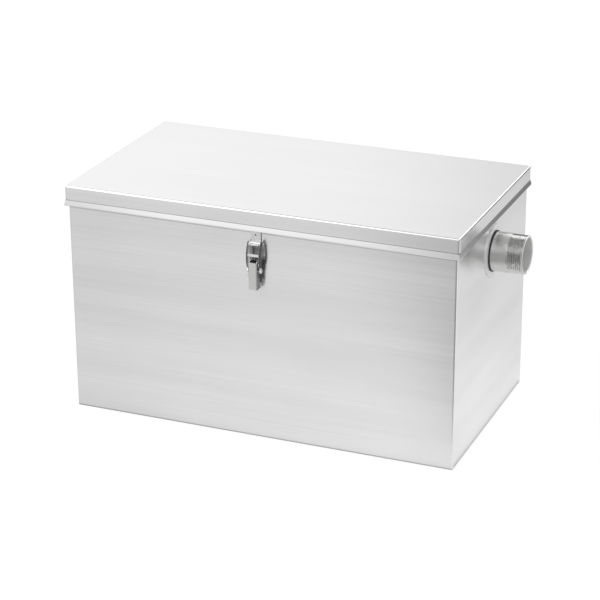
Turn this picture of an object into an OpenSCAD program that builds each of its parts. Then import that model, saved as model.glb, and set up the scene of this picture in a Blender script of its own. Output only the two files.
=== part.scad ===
// Clay trap: a stainless sheet tank with a lift-off lid, two over-centre latches, an inlet and an
// outlet nipple, a lift-out sieve basket, two slide-in baffles and a dip tee.
// Millimetres. X runs from the outlet to the inlet, the latch that faces the user is on -Y,
// Z is up, and the origin is the middle of the underside.

/* [Tank] */
// Length of the tank over its end walls
tank_l = 500; // [440:5:700]
// Width of the tank over its long walls
tank_w = 275; // [255:5:400]
// Height of the whole trap, from the underside to the top of the lid
trap_h = 295; // [285:5:420]
// Thickness of the tank's sheet
tank_t = 1.5; // [1.2:0.1:2]
// Outside radius of the tank's folds
tank_fold_r = 2.5; // [2.2:0.1:4]
// Width of the rim that is turned inwards round the mouth
rim_w = 12; // [10:1:16]

/* [Lid] */
// Thickness of the lid's sheet
lid_t = 1.2; // [1:0.1:1.5]
// Outside radius of the lid's folds
lid_fold_r = 2.5; // [1.8:0.1:4]
// Gap between the tank's wall and the inside of the skirt
lid_gap = 1.8; // [1.8:0.1:4]
// Height of the plain skirt, from the top of the lid down to the bead
skirt_h = 18.5; // [14:0.5:24]
// Height of the bead that is folded outwards along the foot of the skirt
bead_h = 7.5; // [6:0.5:9]
// How far the bead stands out beyond the skirt
bead_out = 1.2; // [1.2:0.1:3]
// How much the bead's face leans back, in degrees
bead_slope = 15; // [4:0.5:16]
// Radius of the bead's foot and of its corners
bead_foot_r = 1.4; // [1:0.1:1.8]
// Height of the relief slit at each mitred corner
relief_h = 0.9; // [0.6:0.1:1.5]
// Thickness of the gasket between the rim and the lid
gasket_t = 5; // [3:0.5:8]
// Width of the gasket strip
gasket_w = 9; // [6:0.5:9.5]

/* [Pipe nipples] */
// Outside radius of the pipe
pipe_r = 24.15; // [16:0.05:24.15]
// Wall thickness of the pipe
pipe_t = 2.8; // [2:0.1:4]
// How far a nipple stands out from the tank's wall
pipe_out = 43; // [35:1:70]
// How far a nipple reaches in past the outside of the wall
pipe_in = 24; // [20:1:28]
// Depth of the inlet's axis below the top of the lid
inlet_drop = 64; // [61:1:75]
// How much lower the outlet's axis lies than the inlet's
outlet_step = 10; // [0:1:20]
// Length of the thread at the outer end
thread_l = 20.5; // [14:0.5:26]
// Depth by which the thread's crests lie below the plain pipe
thread_step = 0.25; // [0.1:0.05:0.5]
// Chamfer at a nipple's outer end
pipe_chamfer = 0.8; // [0.4:0.1:1.5]
// Radial width of the rubber seal round a nipple
seal_w = 1; // [0.8:0.1:4]
// Thickness of the rubber seal
seal_t = 3; // [2:0.1:4]
// Radial width of the washer round the seal
washer_w = 7.5; // [4:0.1:8]
// Thickness of the washer
washer_t = 1.5; // [1:0.1:2.5]
// Size of the back nut across its flats
nut_af = 62; // [60:0.5:66]
// Thickness of the back nut
nut_t = 9; // [6:0.5:12]
// Radial clearance of a nipple in its seal, nut and tee
pipe_clear = 0.1; // [0.05:0.05:0.3]
// Radial clearance of a nipple in the tank's wall
hole_clear = 0.5; // [0.3:0.1:0.8]

/* [Dip tee] */
// Wall thickness of the dip tee
tee_t = 2; // [1.5:0.1:3]
// Distance from the tank's end wall to the upright run of the tee
tee_x = 50; // [50:1:58]
// How far the run reaches below the outlet's axis
tee_down = 130; // [80:5:150]
// How far the run reaches above the outlet's axis
tee_up = 34; // [30:1:36]

/* [Baffles] */
// Distance of the inlet baffle from the inlet's end wall
inlet_baffle_in = 162; // [160:1:175]
// Distance of the outlet baffle from the outlet's end wall
outlet_baffle_in = 150; // [125:1:165]
// Thickness of a baffle plate
baffle_t = 1.5; // [1:0.1:2.5]
// Gap under the inlet baffle, where the water passes
underflow_h = 60; // [40:5:90]
// Height of the outlet baffle, over which the water runs
weir_h = 178; // [120:2:180]
// Gap between the top of the inlet baffle and the rim
baffle_head = 30; // [20:1:40]
// How far the guides end below the top of their baffle
guide_short = 4; // [2:0.5:8]
// Depth of a guide channel, measured from the wall
guide_d = 20; // [18:1:24]
// Thickness of the guides and of the basket's rails
guide_t = 1.5; // [1:0.1:2]
// Clearance of a baffle in its guides, on each face
baffle_clear = 0.4; // [0.2:0.1:0.8]
// Clearance of the baffles and of the basket inside the tank's mouth
mouth_clear = 0.8; // [0.5:0.1:2]
// Radius at the ends of the hand slot in each baffle
slot_r = 13; // [10:0.5:16]
// Length of the straight part of the hand slot
slot_l = 34; // [16:1:60]

/* [Basket] */
// Length of the sieve basket along X
basket_l = 126; // [90:2:126]
// Height of the sieve basket
basket_h = 130; // [80:5:140]
// Gap between the inlet baffle and the basket
basket_gap = 18; // [16:1:24]
// Depth of the basket's brim below the inlet's axis
basket_drop = 42; // [40:1:50]
// Thickness of the basket's sheet
basket_t = 1.2; // [1:0.1:2]
// Width of the brim along the basket's long sides
brim_w = 11; // [9:0.5:13]
// How far the brim bears on its rails
brim_bearing = 8; // [6:0.5:8.5]
// Clearance between the basket's side and its rail
rail_clear = 1.2; // [0.8:0.1:2]
// Radius of the sieve holes
sieve_r = 4; // [3:0.25:5]
// Distance between the sieve holes
sieve_pitch = 20; // [16:1:26]
// Least distance from a face's edge to the middle of its outer holes
sieve_edge = 12; // [8:0.5:16]
// Width of the basket's handle strap
handle_w = 18; // [14:1:24]
// Thickness of the handle strap
handle_t = 2; // [1.5:0.1:3]
// Height of the handle above the brim
handle_h = 36; // [30:1:40]
// Outside radius of the handle's bends
handle_bend_r = 14; // [8:1:18]
// Length over which the handle is welded to the basket's sides
handle_foot = 24; // [12:1:40]

/* [Latches] */
// Width of the catch plate
catch_w = 12.8; // [11:0.1:13]
// Thickness of the catch plate
catch_t = 1.2; // [1:0.1:1.2]
// Inside radius of the catch's hook
hook_r = 3.5; // [3.4:0.1:4]
// Radius of the small hole in the catch plate
catch_hole_r = 1.3; // [0.8:0.1:1.6]
// Depth of the small hole below the bead
catch_hole_drop = 4; // [2.5:0.1:5]
// How far the catch plate reaches up past the bead
catch_lap = 6; // [3:0.5:10]
// Depth of the bail's bar below the bead
bar_drop = 13.5; // [12.5:0.1:15]
// Radius of the bail's bar
bar_r = 1.6; // [1.3:0.05:1.7]
// Clearance of the bar in the hook
bar_clear = 0.3; // [0.2:0.05:0.5]
// Height of the bail, from its bar down to its pin
bail_h = 34; // [33:0.5:40]
// Throw of the latch, from the lever's pin down to the bail's pin
throw = 8; // [6.5:0.25:8]
// How far the lever's pin stands out from the wall
lever_pin_out = 7.5; // [7.5:0.1:8.5]
// How far the bail's pin lies inside the lever's pin when shut, which locks the latch
over_centre = 1; // [0.5:0.1:1.2]
// Radius of the latch's pins
pin_r = 1.5; // [1.2:0.05:1.6]
// Running clearance of the pins
pin_clear = 0.05; // [0.02:0.01:0.09]
// Thickness of the latch's sheet
latch_t = 1.2; // [1:0.1:1.2]
// Thickness of the bail's legs
leg_t = 1.5; // [1.2:0.1:2]
// Width of the bail's legs, seen from the side
leg_w = 3.4; // [3:0.1:4]
// Metal of a leg round the bar
bar_eye_w = 0.6; // [0.4:0.1:1]
// Metal of a leg round its pin
pin_eye_w = 1.3; // [1:0.1:1.4]
// Thickness of the bail's pin heads
pin_head_t = 0.6; // [0.4:0.1:1]
// How far the heads of the bail's pin stand out round it
pin_head_w = 0.5; // [0.3:0.1:1]
// How far the legs bow outwards
leg_bow = 4.5; // [4:0.1:5.5]
// Depth of the bail's cross web below its bar
web_drop = 13.5; // [13:0.5:16]
// Height of the bail's cross web
web_h = 3.2; // [2.6:0.1:4]
// Width of the lever
lever_w = 11; // [10:0.1:12]
// Length of the lever below its pin
lever_l = 30.5; // [28:0.5:42]
// How far the lever's face stands out from its pin
lever_face = 5.5; // [5.2:0.1:5.5]
// Height of the lever's nose above its pin
lever_nose = 4; // [3:0.1:4]
// Radius of the lever's and the hook's folded edges
latch_fold_r = 1.4; // [1.3:0.1:1.8]
// Clearance between the lever's open side and the base plate
lever_clear = 0.6; // [0.4:0.1:0.8]
// Gap between the lever, the ears and the bail's legs, side by side
side_gap = 0.3; // [0.2:0.05:0.5]
// Radius of the ears round the lever's pin
ear_r = 3.4; // [3:0.1:3.6]
// Length of the latch's base plate below the lever's pin
base_l = 24; // [22:0.5:27]
// Radius of the rivets
rivet_r = 1.6; // [1.2:0.1:1.8]
// Radius of the rivets' heads
rivet_head_r = 2.7; // [2.4:0.1:3]
// Height of the rivets' heads
rivet_head_h = 0.9; // [0.6:0.1:1]
// Distance of the upper rivet below the lever's pin
rivet_drop = 9.5; // [8.5:0.5:11]
// Distance of the lower rivet from the base plate's foot
rivet_foot = 4.5; // [3.5:0.5:6]

/* [Hidden] */
$fn = 48;

// Overshoot of every cutting solid, so that no cut ends flush with a face
cut = 1;

steel = "#cfd2d4";
steel_shade = "#b4b8bb";
steel_bright = "#dcdfe1";
rubber = "#26272a";

// Tank and lid
half_l = tank_l / 2;
half_w = tank_w / 2;
tank_h = trap_h - lid_t - gasket_t;
skirt_out = lid_gap + lid_t;
bead_top = trap_h - skirt_h;
bead_bottom = bead_top - bead_h;
mouth_half_w = half_w - rim_w;

// Nipples
inlet_z = trap_h - inlet_drop;
outlet_z = inlet_z - outlet_step;
bore_r = pipe_r - pipe_t;
seal_r = pipe_r + pipe_clear + seal_w;
washer_in_r = seal_r + pipe_clear;
tee_bore_r = pipe_r + pipe_clear;
tee_r = tee_bore_r + tee_t;

// Baffles and basket
inlet_baffle_x = half_l - inlet_baffle_in;
outlet_baffle_x = outlet_baffle_in - half_l;
inlet_baffle_top = tank_h - tank_t - baffle_head;
slot_w = baffle_t + 2 * baffle_clear;
baffle_half_w = mouth_half_w - mouth_clear;
brim_half_w = mouth_half_w - mouth_clear;
basket_half_w = brim_half_w - brim_w;
basket_top = inlet_z - basket_drop;
basket_x = inlet_baffle_x + basket_gap + basket_l / 2;
rail_in = basket_half_w + rail_clear;

// Latch, as distances out from the wall and heights above the underside
catch_out = lid_gap;
hook_centre = catch_out + hook_r;
bar_rise = -(hook_r - bar_r - bar_clear) * 0.875;
bar_out = hook_centre - (hook_r - bar_r - bar_clear) * 0.4375;
bar_z = bead_bottom - bar_drop;
hook_z = bar_z - bar_rise;
bail_pin_z = bar_z - bail_h;
bail_pin_out = lever_pin_out - over_centre;
lever_pin_z = bail_pin_z + throw;
web_z = bar_z - web_drop;
lever_foot_z = lever_pin_z - lever_l;
lever_face_out = lever_pin_out + lever_face;
lever_back_out = latch_t + lever_clear;
ear_x = lever_w / 2 + side_gap;
leg_x = ear_x + latch_t + side_gap;
bow_mid_z = (bar_z + bail_pin_z) / 2;
bow_mid_out = (bar_out + bail_pin_out) / 2;
bow_r = (bail_h * bail_h / 4 + leg_bow * leg_bow) / (2 * leg_bow);
bow_centre = bow_mid_out + leg_bow - bow_r;
bar_eye_r = bar_r + bar_eye_w;
pin_eye_r = pin_r + pin_eye_w;
rivet_z = [lever_pin_z - rivet_drop, lever_pin_z - base_l + rivet_foot];

// Plan or section with four rounded corners, centred
module rounded_plate(x, y, r) {
    square([x - 2 * r, y], center = true);
    square([x, y - 2 * r], center = true);
    for (sx = [-1, 1], sy = [-1, 1])
        translate([sx * (x / 2 - r), sy * (y / 2 - r)]) circle(r);
}

// Box of folded sheet from z = 0 up: every fold has the same radius, and they meet in mitres
module folded_box(x, y, z, r) {
    intersection() {
        linear_extrude(z) rounded_plate(x, y, r);
        rotate([90, 0, 0]) linear_extrude(y + cut, center = true)
            translate([0, z / 2]) rounded_plate(x, z, r);
        rotate([90, 0, 90]) linear_extrude(x + cut, center = true)
            translate([0, z / 2]) rounded_plate(y, z, r);
    }
}

// Frame of one height with a straight-sided opening
module frame_plate(x, y, z, w) {
    difference() {
        translate([-x / 2, -y / 2, 0]) cube([x, y, z]);
        translate([w - x / 2, w - y / 2, -cut]) cube([x - 2 * w, y - 2 * w, z + 2 * cut]);
    }
}

// Carries children from a section drawn as [out from the wall, height] to the front wall
module on_front(width, x = 0) {
    translate([x, -half_w, 0]) rotate([90, 0, -90])
        linear_extrude(width, center = true) children();
}

// Rod along X at a place given as [out from the wall, height] on the front wall
module front_rod(r, length, out, z, x = 0) {
    translate([x - length / 2, -half_w - out, z]) rotate([0, 90, 0]) cylinder(r = r, h = length);
}

// A pair of children, on the left and on the right of the latch's middle
module both_sides(x) {
    for (s = [-1, 1]) translate([s * x, 0, 0]) children();
}

module rear() { rotate([0, 0, 180]) children(); }

// Carries children from the +X end to the outlet's end and height
module at_outlet() { translate([0, 0, -outlet_step]) rotate([0, 0, 180]) children(); }

// Rod or ring along X on the inlet's axis, from x0 to x1
module inlet_rod(r, x0, x1) {
    translate([x0, 0, inlet_z]) rotate([0, 90, 0]) cylinder(r = r, h = x1 - x0, $fn = 96);
}

module rivet_holes() {
    for (z = rivet_z) translate([0, cut - half_w, z]) rotate([90, 0, 0])
        translate([0, 0, -tank_t - cut]) cylinder(r = rivet_r + pin_clear, h = 2 * tank_t + 3 * cut);
}

module tank() {
    color(steel) difference() {
        folded_box(tank_l, tank_w, tank_h, tank_fold_r);
        translate([0, 0, tank_t])
            folded_box(tank_l - 2 * tank_t, tank_w - 2 * tank_t, tank_h - 2 * tank_t,
                       tank_fold_r - tank_t);
        translate([rim_w - half_l, rim_w - half_w, tank_h / 2])
            cube([tank_l - 2 * rim_w, tank_w - 2 * rim_w, tank_h]);
        inlet_rod(pipe_r + hole_clear, half_l - tank_t - cut, half_l + cut);
        at_outlet() inlet_rod(pipe_r + hole_clear, half_l - tank_t - cut, half_l + cut);
        rivet_holes();
        rear() rivet_holes();
    }
}

// Outer form of the skirt: a pan with rounded folds
module lid_skirt() {
    x = tank_l + 2 * skirt_out;
    y = tank_w + 2 * skirt_out;
    intersection() {
        translate([0, 0, bead_bottom]) folded_box(x, y, trap_h - bead_bottom, lid_fold_r);
        translate([-x, -y, bead_top]) cube([2 * x, 2 * y, trap_h]);
    }
}

// Section of the bead, x wide at its foot: the sides lean back from a rounded foot, so that they
// end a little inside the skirt and leave a crease under it, and a neck reaches up inside the skirt
module bead_section(x) {
    foot_in = bead_foot_r * (1 - cos(bead_slope));
    foot_up = bead_foot_r * (1 + sin(bead_slope));
    top_in = foot_in + (bead_h - foot_up) * tan(bead_slope);
    neck = x / 2 - bead_out - lid_t / 2;
    polygon([[foot_in - x / 2, foot_up], [x / 2 - foot_in, foot_up],
             [x / 2 - top_in, bead_h], [top_in - x / 2, bead_h]]);
    translate([bead_foot_r - x / 2, 0]) square([x - 2 * bead_foot_r, foot_up]);
    for (s = [-1, 1])
        translate([s * (x / 2 - bead_foot_r), bead_foot_r]) circle(bead_foot_r);
    translate([-neck, bead_h - cut]) square([2 * neck, 2 * cut]);
}

// Outer form of the bead
module lid_bead() {
    x = tank_l + 2 * (skirt_out + bead_out);
    y = tank_w + 2 * (skirt_out + bead_out);
    translate([0, 0, bead_bottom]) intersection() {
        linear_extrude(bead_h + 2 * cut) rounded_plate(x, y, bead_foot_r);
        rotate([90, 0, 0]) linear_extrude(y + cut, center = true) bead_section(x);
        rotate([90, 0, 90]) linear_extrude(x + cut, center = true) bead_section(y);
    }
}

module lid() {
    color(steel) difference() {
        union() {
            lid_skirt();
            lid_bead();
        }
        translate([-half_l - lid_gap, -half_w - lid_gap, bead_bottom - cut])
            cube([tank_l + 2 * lid_gap, tank_w + 2 * lid_gap, trap_h - lid_t - bead_bottom + cut]);
        for (sx = [-1, 1], sy = [-1, 1])
            translate([sx * (half_l + skirt_out), sy * (half_w + skirt_out), bead_top + relief_h / 2])
                cube([2.4 * lid_fold_r, 2.4 * lid_fold_r, relief_h], center = true);
    }
}

module lid_gasket() {
    edge = (rim_w - gasket_w) / 2;
    color(rubber) translate([0, 0, tank_h])
        frame_plate(tank_l - 2 * edge, tank_w - 2 * edge, gasket_t, gasket_w);
}

// Nipple, drawn at the inlet: plain where it passes the wall, turned down where it is threaded
module nipple() {
    end = half_l + pipe_out;
    crest_r = pipe_r - thread_step;
    color(steel_shade) difference() {
        union() {
            inlet_rod(pipe_r, half_l - pipe_in, end - thread_l);
            inlet_rod(crest_r, end - thread_l - cut, end - pipe_chamfer);
            translate([end - pipe_chamfer, 0, inlet_z]) rotate([0, 90, 0])
                cylinder(r1 = crest_r, r2 = crest_r - pipe_chamfer, h = pipe_chamfer, $fn = 96);
        }
        inlet_rod(bore_r, half_l - pipe_in - cut, end + cut);
    }
}

module nipple_seal() {
    color(rubber) difference() {
        inlet_rod(seal_r, half_l, half_l + seal_t);
        inlet_rod(pipe_r + pipe_clear, half_l - cut, half_l + seal_t + cut);
    }
}

module nipple_washer() {
    color(steel) difference() {
        inlet_rod(washer_in_r + washer_w, half_l, half_l + washer_t);
        inlet_rod(washer_in_r, half_l - cut, half_l + washer_t + cut);
    }
}

// Hexagon nut inside the wall, with its corners turned off
module backnut() {
    face = half_l - tank_t;
    color(steel_shade) difference() {
        intersection() {
            translate([face - nut_t, 0, inlet_z]) rotate([0, 90, 0])
                cylinder(r = nut_af / 2 / cos(30), h = nut_t, $fn = 6);
            translate([face - nut_t, 0, inlet_z]) rotate([0, 90, 0])
                cylinder(r1 = nut_af / 2 + 0.5, r2 = nut_af / 2 + 0.5 + nut_t, h = nut_t, $fn = 96);
        }
        inlet_rod(pipe_r + pipe_clear, face - nut_t - cut, face + cut);
    }
}

module inlet_nipple() { nipple(); }
module inlet_washer() { nipple_washer(); }
module inlet_seal() { nipple_seal(); }
module inlet_backnut() { backnut(); }
module outlet_nipple() { at_outlet() nipple(); }
module outlet_washer() { at_outlet() nipple_washer(); }
module outlet_seal() { at_outlet() nipple_seal(); }
module outlet_backnut() { at_outlet() backnut(); }

// Tee on the inner end of the outlet nipple: its open run draws from the middle of the depth
module outlet_dip_tee() {
    run_x = tee_x - half_l;
    mouth_x = tank_t + nut_t + mouth_clear - half_l;
    color(steel_shade) difference() {
        union() {
            translate([run_x, 0, outlet_z - tee_down])
                cylinder(r = tee_r, h = tee_down + tee_up, $fn = 96);
            translate([mouth_x, 0, outlet_z]) rotate([0, 90, 0])
                cylinder(r = tee_r, h = run_x - mouth_x, $fn = 96);
        }
        translate([run_x, 0, outlet_z - tee_down - cut])
            cylinder(r = tee_bore_r, h = tee_down + tee_up + 2 * cut, $fn = 96);
        translate([mouth_x - cut, 0, outlet_z]) rotate([0, 90, 0])
            cylinder(r = tee_bore_r, h = run_x - mouth_x + cut, $fn = 96);
    }
}

// Baffle plate that stands across the tank, from z0 to z1, with a hand slot near its top
module baffle(x, z0, z1) {
    color(steel) difference() {
        translate([x - baffle_t / 2, -baffle_half_w, z0]) cube([baffle_t, 2 * baffle_half_w, z1 - z0]);
        translate([x, 0, z1 - 2 * slot_r]) rotate([0, 90, 0])
            linear_extrude(baffle_t + 2 * cut, center = true) {
                square([2 * slot_r, slot_l], center = true);
                for (s = [-1, 1]) translate([0, s * slot_l / 2]) circle(slot_r);
            }
    }
}

// Guide channels on both long walls, closed at the foot by a small sole
module guides(x, z0, z1) {
    wide = slot_w + 2 * guide_t;
    wall = half_w - tank_t;
    color(steel_shade) for (s = [-1, 1]) {
        y0 = s > 0 ? wall - guide_d : -wall;
        slot_y = s > 0 ? wall - guide_d - cut : guide_t - wall;
        translate([0, 0, z0]) difference() {
            translate([x - wide / 2, y0, 0]) cube([wide, guide_d, z1 - z0]);
            translate([x - slot_w / 2, slot_y, guide_t])
                cube([slot_w, guide_d - guide_t + cut, z1 - z0]);
        }
    }
}

module inlet_baffle() { baffle(inlet_baffle_x, underflow_h + guide_t, inlet_baffle_top); }
module inlet_baffle_guides() { guides(inlet_baffle_x, underflow_h, inlet_baffle_top - guide_short); }
module outlet_baffle() { baffle(outlet_baffle_x, tank_fold_r + guide_t, weir_h); }
module outlet_baffle_guides() { guides(outlet_baffle_x, tank_fold_r, weir_h - guide_short); }

// Rows of holes through opposite faces of the basket, centred on each face
module sieve_rows(across, up, length) {
    nx = floor((across - 2 * sieve_edge) / sieve_pitch);
    nz = floor((up - 2 * sieve_edge) / sieve_pitch);
    for (i = [0 : nx], j = [0 : nz])
        translate([(i - nx / 2) * sieve_pitch, (j - nz / 2) * sieve_pitch, -length / 2])
            cylinder(r = sieve_r, h = length, $fn = 24);
}

// Open-topped basket of perforated sheet, hung by a brim along each long side
module sieve_basket() {
    wide = 2 * basket_half_w;
    mid_z = basket_top - basket_h / 2;
    color(steel_shade) difference() {
        union() {
            translate([basket_x - basket_l / 2, -basket_half_w, basket_top - basket_h])
                cube([basket_l, wide, basket_h]);
            translate([basket_x - basket_l / 2, -brim_half_w, basket_top - basket_t])
                cube([basket_l, 2 * brim_half_w, basket_t]);
        }
        translate([basket_x - basket_l / 2 + basket_t, basket_t - basket_half_w,
                   basket_top - basket_h + basket_t])
            cube([basket_l - 2 * basket_t, wide - 2 * basket_t, basket_h]);
        translate([basket_x, 0, basket_top - basket_h])
            sieve_rows(basket_l, wide, 4 * basket_t);
        translate([basket_x, 0, mid_z]) rotate([90, 0, 0])
            sieve_rows(basket_l, basket_h, wide + 2 * cut);
        translate([basket_x, 0, mid_z]) rotate([90, 0, 90])
            sieve_rows(wide, basket_h, basket_l + 2 * cut);
    }
}

// Strap across the basket, welded to the inside of its long sides
module basket_handle() {
    inside = basket_half_w - basket_t;
    bend_r = handle_bend_r;
    foot = basket_top - handle_foot;
    top = basket_top + handle_h;
    color(steel) translate([basket_x, 0, 0]) rotate([90, 0, 90])
        linear_extrude(handle_w, center = true) {
            for (s = [-1, 1]) {
                translate([s * (inside - handle_t / 2), (foot + top - bend_r) / 2])
                    square([handle_t, top - bend_r - foot], center = true);
                translate([s * (inside - bend_r), top - bend_r]) intersection() {
                    difference() {
                        circle(bend_r);
                        circle(bend_r - handle_t);
                    }
                    translate([s > 0 ? 0 : -bend_r, 0]) square(bend_r);
                }
            }
            translate([0, top - handle_t / 2])
                square([2 * (inside - bend_r), handle_t], center = true);
        }
}

// Angles on both long walls that the basket's brim rests on
module basket_rails() {
    wall = half_w - tank_t;
    top = basket_top - basket_t;
    lap = brim_half_w - brim_bearing;
    inner = max(rail_in, lap);
    color(steel_shade) for (s = [-1, 1]) {
        translate([basket_x - basket_l / 2, s > 0 ? inner : -wall, top - guide_t])
            cube([basket_l, wall - inner, guide_t]);
        translate([basket_x - basket_l / 2, s > 0 ? wall - guide_t : -wall, top - guide_d])
            cube([basket_l, guide_t, guide_d]);
    }
}

// Section of the catch: a plate behind the bead whose foot is curled outwards and up into a hook
module catch_section() {
    middle_r = hook_r + catch_t / 2;
    tip_angle = asin((hook_z - bar_z) / middle_r);
    translate([catch_out - catch_t, hook_z])
        square([catch_t, bead_top - hook_z + catch_lap]);
    difference() {
        translate([hook_centre, hook_z]) circle(hook_r + catch_t);
        translate([hook_centre, hook_z]) circle(hook_r);
        translate([hook_centre - 2 * middle_r, hook_z]) square([4 * middle_r, 2 * middle_r]);
        translate([hook_centre, bar_z]) square([2 * middle_r, 2 * middle_r]);
    }
    translate([hook_centre + middle_r * cos(tip_angle), bar_z]) circle(catch_t / 2);
}

module catch_plate() {
    color(steel_bright) difference() {
        on_front(catch_w) catch_section();
        translate([0, -half_w - catch_out - cut, bead_bottom - catch_hole_drop]) rotate([-90, 0, 0])
            cylinder(r = catch_hole_r, h = catch_t + 2 * cut);
    }
}

// Base: a plate on the wall with an ear folded out on each side to hold the lever's pin
module latch_base() {
    half = ear_x + latch_t;
    foot_z = lever_pin_z - base_l;
    color(steel_shade) difference() {
        union() {
            translate([-half, -half_w - latch_t, foot_z])
                cube([2 * half, latch_t, base_l + ear_r]);
            both_sides(ear_x + latch_t / 2) on_front(latch_t) {
                translate([0, lever_pin_z - ear_r]) square([lever_pin_out, 2 * ear_r]);
                translate([lever_pin_out, lever_pin_z]) circle(ear_r);
            }
        }
        front_rod(pin_r + pin_clear, 4 * half, lever_pin_out, lever_pin_z);
        rivet_holes();
        for (z = rivet_z) translate([0, cut - half_w, z]) rotate([90, 0, 0])
            cylinder(r = rivet_r + pin_clear, h = latch_t + 2 * cut);
    }
}

// Outline of the lever's sides, round behind the pin so that it clears the base as it turns
module lever_section() {
    back_r = lever_pin_out - lever_back_out;
    translate([lever_back_out, lever_foot_z])
        square([lever_face_out - lever_back_out, lever_l]);
    translate([lever_pin_out, lever_pin_z]) circle(back_r);
    translate([lever_pin_out, lever_pin_z]) square([lever_face, lever_nose]);
}

// Lever: a channel with its open side to the wall
module lever() {
    depth = lever_face_out - lever_back_out;
    color(steel_bright) difference() {
        intersection() {
            on_front(lever_w) lever_section();
            translate([0, -half_w - lever_face_out + depth, lever_foot_z - cut])
                linear_extrude(lever_l + 4 * lever_nose) rounded_plate(lever_w, 2 * depth, latch_fold_r);
        }
        translate([latch_t - lever_w / 2, -half_w - lever_face_out + latch_t, lever_foot_z - cut])
            cube([lever_w - 2 * latch_t, depth + cut, lever_l + 4 * lever_nose]);
        front_rod(pin_r + pin_clear, 2 * lever_w, lever_pin_out, lever_pin_z);
        front_rod(pin_r + pin_clear, 2 * lever_w, bail_pin_out, bail_pin_z);
    }
}

// Outline of a bail's leg: a bowed strap with an eye at the bar and an eye at the pin
module leg_section() {
    intersection() {
        difference() {
            translate([bow_centre, bow_mid_z]) circle(bow_r + leg_w / 2, $fn = 180);
            translate([bow_centre, bow_mid_z]) circle(bow_r - leg_w / 2, $fn = 180);
        }
        translate([0, bail_pin_z]) square([bow_mid_out + 2 * leg_bow + leg_w, bail_h]);
    }
    translate([bar_out, bar_z]) circle(bar_eye_r);
    translate([bail_pin_out, bail_pin_z]) circle(pin_eye_r);
}

// Bail: two bowed legs, the bar that lies in the hook and a cross web between the legs
module bail() {
    web_out = bow_centre + sqrt(bow_r * bow_r - pow(web_z - bow_mid_z, 2));
    span = 2 * leg_x;
    color(steel_bright) difference() {
        union() {
            both_sides(leg_x + leg_t / 2) on_front(leg_t) leg_section();
            front_rod(bar_r, span + leg_t, bar_out, bar_z);
            on_front(span + leg_t) translate([web_out - latch_t / 2, web_z - web_h / 2])
                square([latch_t, web_h]);
        }
        front_rod(pin_r + pin_clear, 4 * span, bail_pin_out, bail_pin_z);
    }
}

// Lever's pin, flush with the ears
module lever_pin() {
    color(steel_shade) front_rod(pin_r, 2 * (ear_x + latch_t), lever_pin_out, lever_pin_z);
}

// Bail's pin, with a thin head outside each leg
module bail_pin() {
    color(steel_shade) {
        front_rod(pin_r, 2 * (leg_x + leg_t), bail_pin_out, bail_pin_z);
        both_sides(leg_x + leg_t + pin_head_t / 2)
            front_rod(pin_r + pin_head_w, pin_head_t, bail_pin_out, bail_pin_z);
    }
}

// Rivets that hold the base: a low cone head outside and a flat one inside the tank
module rivets() {
    color(steel_shade) for (z = rivet_z) translate([0, -half_w, z]) rotate([90, 0, 0]) {
        translate([0, 0, -tank_t]) cylinder(r = rivet_r, h = tank_t + latch_t);
        translate([0, 0, latch_t])
            cylinder(r1 = rivet_head_r, r2 = rivet_r, h = rivet_head_h);
        translate([0, 0, -tank_t - rivet_head_h]) cylinder(r = rivet_head_r, h = rivet_head_h);
    }
}

module front_catch() { catch_plate(); }
module front_latch_base() { latch_base(); }
module front_lever() { lever(); }
module front_bail() { bail(); }
module front_lever_pin() { lever_pin(); }
module front_bail_pin() { bail_pin(); }
module front_rivets() { rivets(); }
module rear_catch() { rear() catch_plate(); }
module rear_latch_base() { rear() latch_base(); }
module rear_lever() { rear() lever(); }
module rear_bail() { rear() bail(); }
module rear_lever_pin() { rear() lever_pin(); }
module rear_bail_pin() { rear() bail_pin(); }
module rear_rivets() { rear() rivets(); }

tank();
lid();
lid_gasket();
inlet_nipple();
inlet_washer();
inlet_seal();
inlet_backnut();
outlet_nipple();
outlet_washer();
outlet_seal();
outlet_backnut();
outlet_dip_tee();
inlet_baffle();
inlet_baffle_guides();
outlet_baffle();
outlet_baffle_guides();
sieve_basket();
basket_handle();
basket_rails();
front_catch();
front_latch_base();
front_lever();
front_bail();
front_lever_pin();
front_bail_pin();
front_rivets();
rear_catch();
rear_latch_base();
rear_lever();
rear_bail();
rear_lever_pin();
rear_bail_pin();
rear_rivets();
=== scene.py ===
"""Looks of a clay trap: brushed sheet, threaded pipe, latches, soft studio light and the camera."""

import logging
import math
from dataclasses import dataclass, field
from enum import Enum
from typing import Any, Iterable

import bpy
from mathutils import Matrix, Vector

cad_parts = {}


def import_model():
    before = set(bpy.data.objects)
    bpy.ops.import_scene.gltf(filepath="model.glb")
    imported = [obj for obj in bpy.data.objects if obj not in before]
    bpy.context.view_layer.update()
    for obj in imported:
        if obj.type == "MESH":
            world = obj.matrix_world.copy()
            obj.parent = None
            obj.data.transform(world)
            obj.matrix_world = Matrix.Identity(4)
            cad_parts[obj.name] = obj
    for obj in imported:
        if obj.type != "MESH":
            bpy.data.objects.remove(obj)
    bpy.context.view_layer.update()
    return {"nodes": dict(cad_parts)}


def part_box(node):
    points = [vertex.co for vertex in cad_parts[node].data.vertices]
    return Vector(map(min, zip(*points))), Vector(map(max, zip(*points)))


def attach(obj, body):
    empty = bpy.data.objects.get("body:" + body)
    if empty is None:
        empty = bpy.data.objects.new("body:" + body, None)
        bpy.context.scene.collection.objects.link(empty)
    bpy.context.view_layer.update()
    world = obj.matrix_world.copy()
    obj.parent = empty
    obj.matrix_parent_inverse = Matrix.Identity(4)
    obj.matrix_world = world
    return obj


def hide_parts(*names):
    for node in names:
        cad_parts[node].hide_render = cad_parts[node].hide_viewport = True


LOG = logging.getLogger("clay_trap")
HOUSING = "housing"

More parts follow.
